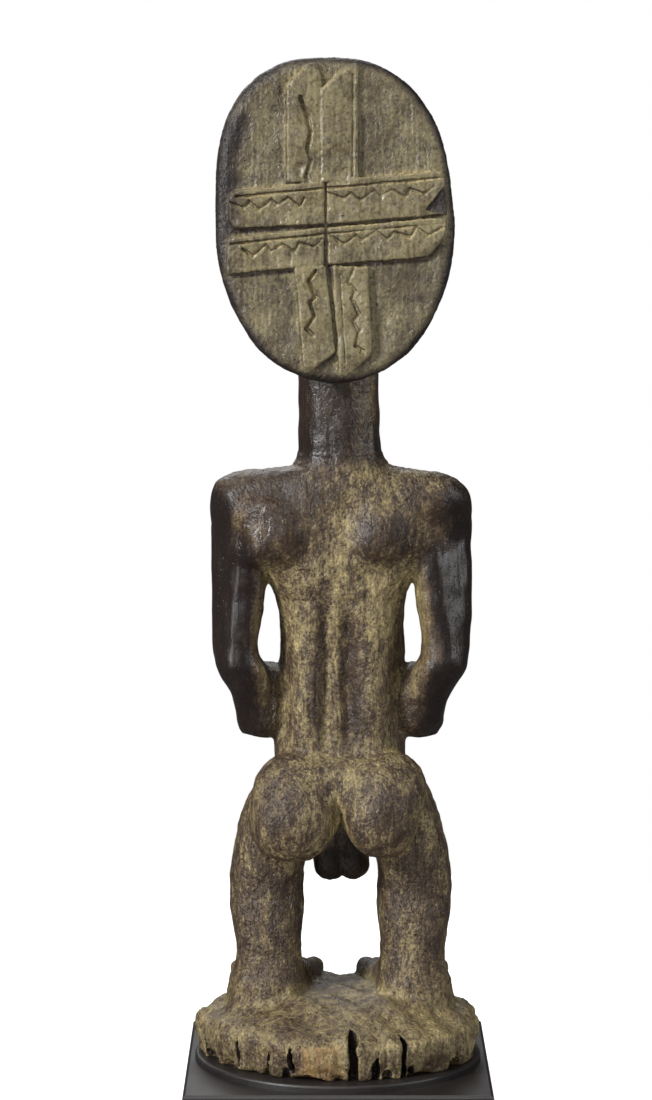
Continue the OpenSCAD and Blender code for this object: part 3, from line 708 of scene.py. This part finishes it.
def weather(points, crust, gloss):
    """Tool marks, grain and crust, as small moves along the normals in millimetres. The seat stays flat."""
    z = points[:, 2]
    rough = 1 - 0.7 * gloss
    low_down = ramp(z, SEAT + 70, SEAT + 20)
    move = 0.5 * noise(points, 11, 21) + 0.42 * rough * noise(points, 4.6, 22, (1, 1, 1.4))
    move += 0.30 * rough * noise(points, 2.2, 23, (1, 1, 9))
    move += 0.45 * crust * noise(points, 2.6, 24)
    move += low_down * (0.9 * noise(points, 8, 25) + 0.5 * noise(points, 3.2, 26))
    rim = low_down * ramp(np.hypot(points[:, 0], points[:, 1]), 66, 80) * ramp(z, SEAT + 26, SEAT + 18)
    move += rim * (1.0 * noise(points, 2.6, 27, (1, 1, 9)) + 0.7 * noise(points, 5.5, 28, (1, 1, 6)))
    return move * ramp(z, SEAT + 0.2, SEAT + 2.5)


# ---------- sawing the carving into its pieces ----------

def block(low, high):
    """A closed box mesh, in millimetres."""
    mesh = bpy.data.meshes.new("saw")
    corners = [(x, y, z) for x in (low[0], high[0]) for y in (low[1], high[1]) for z in (low[2], high[2])]
    faces = [(0, 1, 3, 2), (4, 6, 7, 5), (0, 4, 5, 1), (2, 3, 7, 6), (0, 2, 6, 4), (1, 5, 7, 3)]
    mesh.from_pydata(corners, [], faces)
    return mesh


def saw(mesh, blade, keep):
    """The part of the mesh inside the blade, or outside it."""
    work, tool = new_object("work", mesh), new_object("tool", blade)
    cut = work.modifiers.new("cut", "BOOLEAN")
    cut.operation = {"inside": "INTERSECT", "outside": "DIFFERENCE"}[keep]
    cut.solver = "MANIFOLD"
    cut.object = tool
    graph = bpy.context.evaluated_depsgraph_get()
    result = bpy.data.meshes.new_from_object(work.evaluated_get(graph))
    for item in (work, tool):
        bpy.data.objects.remove(item)
    return result


def set_values(mesh, values):
    """Write one number per point for each name, as the attribute that the materials read."""
    for name, value in values.items():
        data = mesh.attributes.get(name) or mesh.attributes.new(name, "FLOAT", "POINT")
        data.data.foreach_set("value", value.astype(np.float32))


def get_values(mesh, name):
    return read(mesh.attributes[name].data, "value", 1)


def shade(mesh, normals, inside=None):
    """Give the outer faces these normals, and leave the sawn faces flat."""
    mesh.shade_smooth()
    corner = np.zeros(len(mesh.loops), np.int32)
    mesh.loops.foreach_get("vertex_index", corner)
    split = normals[corner]
    if inside is not None:
        sizes = np.zeros(len(mesh.polygons), np.int32)
        mesh.polygons.foreach_get("loop_total", sizes)
        starts = np.concatenate([[0], np.cumsum(sizes)[:-1]])
        sawn = np.repeat(np.logical_and.reduceat(inside[corner], starts), sizes)
        flat = np.repeat(read(mesh.polygons, "normal", 3), sizes, axis=0)
        split[sawn] = flat[sawn]
    mesh.normals_split_custom_set(split.tolist())


def part_off(full, saws):
    """Saw the full carving into its named pieces, from the top down."""
    wide = 130                      # out past the carving on every side
    pieces = {}

    def take(name, blade):
        nonlocal full
        pieces[name] = saw(full, blade, "inside")
        full = saw(full, blade, "outside")

    def above(z, from_x=-wide):
        return block((from_x, -wide, z), (wide, wide, CROWN + 9))

    take("head", saws["head"].mesh("saw"))
    take("neck", above(COLLAR))
    take("arm_left", saws["arm_left"].mesh("saw"))
    take("arm_right", saws["arm_right"].mesh("saw"))
    take("torso", above(WAIST))
    take("groin", saws["groin"].mesh("saw"))
    take("pelvis", above(HIP))
    take("leg_left", above(ANKLE, BODY_X))
    take("leg_right", above(ANKLE))
    take("foot_left", saws["foot_left"].mesh("saw"))
    take("foot_right", saws["foot_right"].mesh("saw"))
    pieces["carved_base"] = full
    return pieces


def carving():
    """Sculpt, weather, saw and place the whole carving but for its coiffure."""
    whole, masses = build_masses()
    saws = join_masses(whole, masses)
    full = whole.mesh("carving")
    points, normals = points_and_normals(full)
    values = masks(whole, points, normals)
    points = points + normals * weather(points, values["crust"], values["gloss"])[:, None]
    move_points(full, points)
    normals = read(full.vertices, "normal", 3)
    set_values(full, {**values, "kept": np.ones(len(points))})    # a point that a saw makes reads 0
    tree = kdtree.KDTree(len(points))
    for i, point in enumerate(points.tolist()):
        tree.insert(point, i)
    tree.balance()
    everywhere = np.concatenate([normals, np.array(list(values.values())).T], axis=1)
    full.attributes.new("facing", "FLOAT_VECTOR", "POINT").data.foreach_set(
        "vector", normals.astype(np.float32).ravel())
    for name, mesh in part_off(full, saws).items():
        mesh.name = name
        new = get_values(mesh, "kept") < 0.5
        places = read(mesh.vertices, "co", 3)
        facing = read(mesh.attributes["facing"].data, "vector", 3)
        rows = {key: get_values(mesh, key) for key in values}
        nearest = [tree.find(place)[1] for place in places[new].tolist()]
        facing[new] = everywhere[nearest, :3]
        for column, key in enumerate(rows):
            rows[key][new] = everywhere[nearest, 3 + column]
        set_values(mesh, rows)
        shade(mesh, facing, new)
        for spare in ("kept", "facing"):
            mesh.attributes.remove(mesh.attributes[spare])
        place_wood(mesh, name)


WOOD_SLOTS = {"polished_wood": ["head", "neck", "arm_left", "arm_right", "groin"],
              "crusted_wood": ["coiffure_disc", "coiffure_plaits", "torso", "pelvis",
                               "leg_left", "leg_right"],
              "worn_wood": ["foot_left", "foot_right", "carved_base"]}


def place_wood(mesh, name):
    """Make a piece of the carving from a mesh in millimetres, standing for the CAD node of that name."""
    move_points(mesh, read(mesh.vertices, "co", 3) / MM)
    slot = next(s for s, names in WOOD_SLOTS.items() if name in names)
    mesh.materials.clear()
    mesh.materials.append(wood_materials["coiffure_wood" if name.startswith("coiffure") else slot])
    piece = new_object(name + "_carved", mesh)
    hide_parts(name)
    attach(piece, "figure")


# ---------- the coiffure ----------

def egg(x, z):
    """The distance to the disc's outline, which is squarer above than below and leans a little."""
    dx, dz = x - DISC_X - 0.05 * np.maximum(z - DISC_Z, 0), z - DISC_Z
    u, w = np.abs(dx / DISC_HALF_W) + 1e-5, np.abs(dz / DISC_HALF_H) + 1e-5
    power = 2.14 + 0.34 * ramp(dz, -30, 50)
    rho = (u**power + w**power)**(1 / power)
    return np.hypot(dx, dz) * (1 - 1 / rho)


# The flat plaits laid over the disc's back: the corners of each, [x, height above the disc's middle].
PLAITS = [
    [(33, 24), (33, 86), (18, 100), (13, 100), (9.8, 84), (9.8, 24)],
    [(11.2, 24), (11.2, 83), (-9.5, 100), (-13, 100), (-12.6, 24)],
    [(8.5, -2), (8.5, 25.5), (65, 19.5), (69.5, 15), (70, 0), (66, -5)],
    [(7.5, -2.5), (7.5, 25.5), (-67, 32), (-69, 4)],
    [(8.8, -28), (8.8, -4), (70, -10.5), (72, -34)],
    [(6.8, -28), (6.8, -4), (-68.5, 2.5), (-68.5, -8), (-57, -23)],
    [(28, -28), (8, -28), (1.5, -83), (22, -98)],
    [(4, -28), (-19.5, -29), (-21.5, -84), (-6, -99), (-0.5, -98)]]


def zigzag(start, end, teeth, swing):
    """A zigzag line of so many teeth from start to end."""
    ax, az = start
    bx, bz = end
    length = math.hypot(bx - ax, bz - az)
    side = (-(bz - az) / length * swing, (bx - ax) / length * swing)
    line = []
    for k in range(2 * teeth + 1):
        t = (k + 0.28 * math.sin(2.3 * k + ax)) / (2 * teeth)
        way = (1 if k % 2 else -1) * (1 + 0.4 * math.sin(1.7 * k + az))
        line.append((ax + (bx - ax) * t + way * side[0], az + (bz - az) * t + way * side[1]))
    return line


# Cut lines on the plaits: [points, half width, depth].
CUTS = [
    (zigzag((5, 15), (-60, 19), 5, 2.2), 1.0, 1.0),
    (zigzag((4, -12), (-64, -6), 5, 2.5), 1.0, 1.2),
    (zigzag((60, -19.5), (11, -14.5), 4, 2.4), 1.0, 1.1),
    (zigzag((68, 9), (20, 13), 4, 2.4), 1.0, 1.0),
    (zigzag((16, -32), (18, -74), 3, 2.0), 1.2, 1.6),
    (zigzag((-8, -31), (-13, -84), 4, 2.0), 1.1, 1.3),
    ([(24, 78), (20, 66), (17.5, 56), (19.5, 46), (17.5, 38), (20.5, 28)], 1.4, 1.7),
    ([(-9.2, 92), (-9.4, 60), (-9.0, 28)], 0.9, 1.2),
    ([(65, 15.2), (9, 20.6)], 0.9, 1.3),
    ([(6.5, 20.6), (-66, 27.2)], 0.9, 1.4),
    ([(68, -14.6), (10, -8.4)], 0.9, 1.3),
    ([(6, -8.0), (-67, -1.6)], 0.7, 0.7),
    ([(-1, -34), (-4.5, -90)], 0.8, 0.9)]


# The splinter broken out of a plait's end at the disc's right edge, as its corners.
SPLINTER = [(-55, 7), (-69, 24), (-72, 3)]


def outline(corners, x, z, blend):
    """The distance to a flat shape with these corners, rounded over blend."""
    middle = np.mean(corners, 0)
    flat = None
    for (ax, az), (bx, bz) in zip(corners, corners[1:] + corners[:1]):
        side = np.array([bz - az, ax - bx]) / math.hypot(bx - ax, bz - az)
        if (middle - (ax, az)) @ side > 0:
            side = -side
        edge = (x - ax) * side[0] + (z - DISC_Z - az) * side[1]
        flat = edge if flat is None else smooth_max(flat, edge, blend)
    return flat


def disc_forms():
    """The disc, and the plaits with their cut lines, as two fields on one grid."""
    low = (DISC_X - DISC_HALF_W - 6, DISC_FRONT - 3, DISC_Z - DISC_HALF_H - 4)
    high = (DISC_X + DISC_HALF_W + 8, DISC_BACK + 9, DISC_Z + DISC_HALF_H + 4)
    disc = Clay.over(low, high, FINE)
    x, y, z = broadcast(disc.axes)
    rim = egg(x, z) + 0.5 * np.cos(x * 0.09) * np.cos(z * 0.07)
    hollow = 0.5 + 0.6 * np.cos(x * 0.07 + 1) * np.cos(z * 0.06) + 0.25 * np.cos(x * 0.31 + z * 0.17)
    back = y - DISC_BACK + hollow * ramp(-rim, 4, 16)
    disc.field[:] = smooth_max(smooth_max(rim, back, 9.0), DISC_FRONT - y, 6.0)
    proud = 3.7
    plaits = disc.twin(np.full_like(disc.field, FAR))
    for corners in PLAITS:
        crown = proud + 0.45 * np.cos(x * 0.17 + corners[0][0]) + 0.35 * np.cos(z * 0.23 + x * 0.05)
        slab = np.maximum(y - DISC_BACK - crown, DISC_BACK - 1.6 - y)
        plaits.field = np.minimum(plaits.field, smooth_max(outline(corners, x, z, 1.5), slab, 2.2))
    plaits.field = smooth_max(plaits.field, rim + 2.5, 2.0)
    for line, half, depth in CUTS:
        top = DISC_BACK + proud - depth + half
        for (ax, az), (bx, bz) in zip(line, line[1:]):
            plaits.carve(rod((ax, top, DISC_Z + az), (bx, top, DISC_Z + bz), half, half, (1, 1.6, 1)), 0.5)
    for ax, az, wide, tall in [(-2, 29, 7, 6), (24, 33, 3, 5), (19, 27, 2, 4)]:
        plaits.carve(ball((ax, DISC_BACK + 5, DISC_Z + az), (wide, 3, tall)), 1.0)
    splinter = np.maximum(outline(SPLINTER, x, z, 0), DISC_BACK + 0.6 + 0.16 * (-55 - x) - y)
    plaits.field = smooth_max(plaits.field, -splinter, 0.8)
    return disc, plaits


def disc_masks(clay, disc, plaits, points, normals):
    """The same four values as masks gives, for the points of the disc or of the plaits."""
    laid_on = clay is plaits
    both = disc.twin(np.minimum(disc.field, plaits.field))
    hidden = sheltered(both, points, normals, (1.2, 2.5, 5.0))
    x, y, z = points.T
    edge = egg(x, z)
    rim = 0.9 * ramp(edge, -7 - 4 * ramp(x, 20, 60), 0)
    side = ramp(edge, -22, -3) * ramp(x, 35, 62)
    side = side * ramp(z, DISC_Z - 26, DISC_Z) * ramp(z, DISC_Z + 90, DISC_Z + 50)
    broken = ramp(np.hypot(x + 65, z - DISC_Z - 11), 11, 8)
    broken = broken * ramp(y, DISC_BACK + 3.4, DISC_BACK + 2.4) * laid_on
    dark = np.maximum(np.maximum(rim, side), broken)
    # painted shadow: the disc is darkened in a band just below each plait
    under = ramp(-plaits.sample(points + (0, 1.6, 2.6)), -1.0, 0.6)      # just below a plait
    patches = 0.13 * noise(points, 19, 31) + 0.08 * noise(points, 7, 32, (1.6, 1, 1))
    # painted light and shade: faces turned up are lightened, and faces turned down or to the left are
    # darkened, away from the rim
    edges = 0.16 * ramp(normals[:, 2], 0.3, 0.8)
    edges -= 0.55 * ramp(-normals[:, 2] + 0.5 * normals[:, 0], 0.3, 0.8)
    edges -= 0.5 * under * (not laid_on)
    level, settled, waxed = (0.58, 0.32, 0.65) if laid_on else (0.44, 0.55, 0)
    crust = level + settled * hidden + patches - 0.60 * dark + edges * ramp(edge, -6, -10)
    gloss = np.clip(0.30 - 1.2 * dark - hidden, -0.9, 1) + waxed * (1 - hidden)
    return {"crust": np.clip(crust, 0, 1), "gloss": gloss, "bare": 0 * gloss, "dark": dark}


def coiffure():
    """The flat disc behind the head, with its crossed plaits in relief."""
    disc, plaits = disc_forms()
    for name, clay in (("coiffure_disc", disc), ("coiffure_plaits", plaits)):
        mesh = clay.mesh(name)
        points, normals = points_and_normals(mesh)
        values = disc_masks(clay, disc, plaits, points, normals)
        scored = 0.26 * noise(points, 1.8, 33, (1, 1, 9)) + 0.30 * noise(points, 6, 37, (1, 1, 3))
        scored = scored * ramp(points[:, 1], DISC_BACK - 2, DISC_BACK)
        move = 0.40 * noise(points, 8, 34) + 0.20 * noise(points, 2.6, 35) + 0.14 * noise(points, 1.3, 36)
        move = (move + scored) * ramp(points[:, 1], DISC_FRONT - 1, DISC_FRONT + 2)
        move_points(mesh, points + normals * move[:, None])
        set_values(mesh, values)
        mesh.shade_smooth()
        place_wood(mesh, name)


# ---------- materials ----------

class Finish:
    """A material whose nodes are laid down one at a time. Places are in the row frame, in metres."""

    def __init__(self, name):
        self.material = bpy.data.materials.new(name)
        self.material.use_nodes = True
        self.tree = self.material.node_tree
        self.shader = self.tree.nodes["Principled BSDF"]
        self.place = self.node("ShaderNodeTexCoord").outputs["Object"]

    def put(self, socket, value):
        """Join a socket to another, or set its constant."""
        if isinstance(value, bpy.types.NodeSocket):
            self.tree.links.new(value, socket)
        else:
            socket.default_value = value

    def node(self, kind, inputs=None, **settings):
        made = self.tree.nodes.new(kind)
        for key, value in settings.items():
            setattr(made, key, value)
        for key, value in (inputs or {}).items():
            self.put(made.inputs[key], value)
        return made

    def attribute(self, name):
        return self.node("ShaderNodeAttribute", attribute_name=name).outputs["Fac"]

    def stretched(self, stretch):
        """The place, drawn out along X, Y and Z."""
        if stretch == (1, 1, 1):
            return self.place
        scale = tuple(1 / s for s in stretch)
        return self.node("ShaderNodeVectorMath", {0: self.place, 1: scale}, operation="MULTIPLY").outputs[0]

    def noise(self, size, stretch=(1, 1, 1), detail=2.0, rough=0.55, twist=0.0):
        """Cloudy noise with lumps about size millimetres across, from 0 to 1."""
        return self.node("ShaderNodeTexNoise", {
            "Vector": self.stretched(stretch), "Scale": MM / size, "Detail": detail, "Roughness": rough,
            "Distortion": twist}).outputs["Fac"]

    def cells(self, size):
        """The distance to the middle of the nearest of many cells about size millimetres across."""
        made = self.node("ShaderNodeTexVoronoi", {"Vector": self.place, "Scale": MM / size})
        return made.outputs["Distance"]

    def maths(self, operation, a, b=0.0, c=0.0):
        return self.node("ShaderNodeMath", {0: a, 1: b, 2: c}, operation=operation).outputs[0]

    def add(self, *terms):
        """The sum of (value, weight) pairs and plain numbers."""
        total = 0.0
        for term in terms:
            if isinstance(term, tuple):
                total = self.maths("MULTIPLY_ADD", term[0], term[1], total)
            else:
                total = self.maths("ADD", total, term)
        return total

    def step(self, value, low, high, to_low=0.0, to_high=1.0):
        return self.node("ShaderNodeMapRange", {
            "Value": value, "From Min": low, "From Max": high, "To Min": to_low, "To Max": to_high},
            interpolation_type="SMOOTHSTEP").outputs["Result"]

    def mix(self, factor, a, b):
        """One colour into another. A colour is a socket, or red, green and blue."""
        made = self.node("ShaderNodeMix", data_type="RGBA")
        for key, value in ((0, factor), (6, a), (7, b)):
            self.put(made.inputs[key], (*value, 1.0) if isinstance(value, tuple) else value)
        return made.outputs[2]

    def bump(self, height, depth, normal=None, strength=1.0):
        """A relief: a height of 1 stands depth millimetres proud. It can lie over another normal."""
        inputs = {"Height": height, "Distance": depth / MM, "Strength": strength}
        if normal is not None:
            inputs["Normal"] = normal
        return self.node("ShaderNodeBump", inputs).outputs["Normal"]

    def finish(self, colour, roughness, normal, **constants):
        self.put(self.shader.inputs["Base Color"], colour)
        self.put(self.shader.inputs["Roughness"], roughness)
        self.put(self.shader.inputs["Normal"], normal)
        for key, value in constants.items():
            self.put(self.shader.inputs[key.replace("_", " ")], value)
        return self.material


BLACK_WOOD = (0.011, 0.0075, 0.0065)
BROWN_WOOD = (0.040, 0.024, 0.0140)
UMBER = (0.076, 0.050, 0.026)
OLIVE = (0.178, 0.140, 0.065)
OCHRE = (0.370, 0.285, 0.130)
BARE_WOOD = (0.235, 0.132, 0.040)
GREY_UMBER = (0.072, 0.056, 0.033)
GREY_OLIVE = (0.156, 0.130, 0.068)


def patina(name, contrast, drawn=1.7, ground=UMBER, crusted=OLIVE, relief=2.2):
    """Old handled wood: dark and waxy where it is rubbed, under a dry ochre crust where it isn't.

    Drawn is how far its patches are drawn out up the grain, and relief how deep its wrinkles are in mm.
    """
    f = Finish(name)
    crust, gloss, bare, dark = (f.attribute(key) for key in ("crust", "gloss", "bare", "dark"))
    broad = f.noise(13, (1, 1, drawn), detail=3)
    patch = f.noise(5.0, (1, 1, drawn), detail=4, rough=0.65)
    grain = f.noise(1.5, (1, 1, 12), detail=3, rough=0.6, twist=0.3)
    grit = f.noise(1.8, detail=4, rough=0.75)
    wrinkle = f.noise(3.2, (1, 1, 1.3), detail=3, rough=0.5, twist=1.2)
    uneven = f.add((dark, -0.6 * contrast), contrast)
    mottle = f.add((broad, 0.9), (patch, 1.1), (grit, 1.5), (grain, 0.7), -2.10)
    tone = f.add((crust, 1.0), (f.maths("MULTIPLY", mottle, uneven), 1.0))
    wood = f.mix(f.step(f.add((grain, 0.7), (broad, 0.5), (dark, -0.5)), 0.10, 0.75), BLACK_WOOD, BROWN_WOOD)
    colour = f.mix(f.step(tone, 0.05, 0.42), wood, ground)
    colour = f.mix(f.step(tone, 0.36, 0.70), colour, crusted)
    colour = f.mix(f.step(tone, 0.72, 1.15), colour, OCHRE)
    fresh = f.step(f.add((bare, 0.8), (f.noise(2.6, (1, 1, 6), detail=4, rough=0.7), 1.5)), 1.20, 1.85)
    colour = f.mix(f.maths("MULTIPLY", fresh, 0.72), colour, BARE_WOOD)
    hole = f.step(f.add((grit, 1.0), (f.cells(2.8), 0.25)), 0.52, 0.40)
    colour = f.mix(f.maths("MULTIPLY", hole, 0.80), colour, BLACK_WOOD)
    fold = f.step(wrinkle, 0.46, 0.34)
    colour = f.mix(f.maths("MULTIPLY", fold, f.add((dark, -0.35), (gloss, -0.10), 0.45)), colour, BLACK_WOOD)
    waxed = f.step(f.noise(2.4, (1, 1, 1.2), detail=2), 0.54, 0.64)
    glints = f.maths("MULTIPLY", waxed, tone)
    roughness = f.add((tone, 0.10), (gloss, -0.13), (grit, 0.14), (glints, -0.22), 0.31)
    height = f.add((tone, 0.45), (grit, 0.40), (grain, 0.15), (hole, -0.45))
    normal = f.bump(height, 0.40, strength=f.add((gloss, -0.7), 1.0))
    normal = f.bump(wrinkle, relief, normal, strength=f.add((dark, -0.50), (gloss, -0.42), 0.85))
    return f.finish(colour, roughness, normal, Specular_IOR_Level=0.42)


def blackened():
    """The stand's wood, stained nearly black and rubbed with wax."""
    f = Finish("blackened_wood")
    grain = f.noise(1.1, (40, 1, 1), detail=4, rough=0.6, twist=0.2)
    broad = f.noise(30, (3, 1, 1), detail=2)
    streak = f.step(f.add((grain, 0.7), (broad, 0.5)), 0.35, 0.95)
    colour = f.mix(streak, (0.006, 0.0052, 0.0052), (0.017, 0.012, 0.011))
    roughness = f.add((grain, 0.20), (broad, 0.12), 0.30)
    normal = f.bump(grain, 0.10)
    return f.finish(colour, roughness, normal)


def steel():
    f = Finish("steel")
    lines = f.noise(0.5, (1, 1, 0.15), detail=2)
    smudge = f.noise(7, detail=3)
    colour = f.mix(f.step(smudge, 0.35, 0.7), (0.50, 0.49, 0.47), (0.36, 0.34, 0.32))
    return f.finish(colour, f.add((smudge, 0.25), (lines, 0.10), 0.18), f.bump(lines, 0.03), Metallic=1.0)


def felt():
    f = Finish("felt")
    fibres = f.noise(0.7, detail=5, rough=0.8, twist=2.0)
    colour = f.mix(fibres, (0.020, 0.019, 0.018), (0.085, 0.080, 0.074))
    return f.finish(colour, 0.95, f.bump(fibres, 0.5), Sheen_Weight=0.4)


wood_materials = {
    "polished_wood": patina("polished_wood", 1.0),
    "crusted_wood": patina("crusted_wood", 1.25),
    "worn_wood": patina("worn_wood", 1.0),
    "coiffure_wood": patina("coiffure_wood", 0.50, 1.0, GREY_UMBER, GREY_OLIVE, 1.1)}


def dress_stand():
    """The stand's CAD nodes have their true shapes already, and only take their finishes."""
    finishes = {"blackened_wood": blackened(), "steel": steel(), "felt": felt()}
    slots = {"plinth": "blackened_wood", "seat_disc": "blackened_wood", "felt_pads": "felt"}
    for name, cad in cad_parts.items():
        slot = slots.get(name, "steel")
        cad.data.materials.clear()
        cad.data.materials.append(finishes[slot])


# ---------- stage, lights and camera ----------

def stage():
    """A round white floor that shines a little, so that it meets the white world without an edge."""
    mesh = bpy.data.meshes.new("floor")
    steps, reach = 96, 0.8
    rim = [(reach * math.cos(2 * math.pi * k / steps), reach * math.sin(2 * math.pi * k / steps), 0.0)
           for k in range(steps)]
    mesh.from_pydata(rim, [], [tuple(range(steps))])
    f = Finish("white_paper")
    f.shader.inputs["Base Color"].default_value = (0.6, 0.6, 0.6, 1)
    f.shader.inputs["Roughness"].default_value = 0.9
    f.shader.inputs["Emission Color"].default_value = (1, 1, 1, 1)
    f.shader.inputs["Emission Strength"].default_value = 0.8
    mesh.materials.append(f.material)
    floor = new_object("floor", mesh)
    floor.visible_glossy = False


def lamp(name, place, size, power):
    """A soft box that shines from place towards the middle of the figure."""
    light = bpy.data.lights.new(name, "AREA")
    light.shape, light.size, light.size_y = "RECTANGLE", size[0], size[1]
    light.energy = power
    holder = new_object(name, light)
    holder.location = place
    holder.rotation_euler = (Vector((0, 0, 0.38)) - Vector(place)).to_track_quat("-Z", "Y").to_euler()


def lights():
    """Six soft boxes, and a world that is white to the camera and dim to everything else."""
    world = bpy.data.worlds.new("studio")
    bpy.context.scene.world = world
    world.use_nodes = True
    nodes, links = world.node_tree.nodes, world.node_tree.links
    back = nodes["Background"]
    back.inputs["Color"].default_value = (1, 1, 1, 1)
    path = nodes.new("ShaderNodeLightPath")
    level = nodes.new("ShaderNodeMapRange")
    level.inputs["To Min"].default_value = 0.07
    level.inputs["To Max"].default_value = 1.0
    links.new(path.outputs["Is Camera Ray"], level.inputs["Value"])
    links.new(level.outputs["Result"], back.inputs["Strength"])
    lamp("key", (1.50, 1.15, 1.30), (0.30, 0.45), 60)
    lamp("strip", (1.35, 1.35, 0.32), (0.12, 0.5), 8)
    lamp("fill", (-1.80, 0.75, 1.00), (0.6, 1.4), 17)
    lamp("soft", (0.1, 2.9, 0.90), (1.0, 0.9), 12)
    lamp("top", (0.15, 0.75, 2.3), (0.9, 0.5), 15)
    lamp("front", (0.4, -1.6, 1.5), (1.2, 1.2), 16)


def camera():
    """Behind the figure and a little above it, aimed slightly down."""
    data = bpy.data.cameras.new("camera")
    data.lens, data.sensor_width, data.sensor_fit = 118.1, 36.0, "AUTO"
    holder = new_object("camera", data)
    holder.location = (0.0078, 2.353, 0.665)
    holder.rotation_euler = (math.radians(83.22), 0, math.radians(180))
    bpy.context.scene.camera = holder


carving()
coiffure()
dress_stand()
stage()
lights()
camera()
bpy.context.scene.view_settings.view_transform = "Standard"
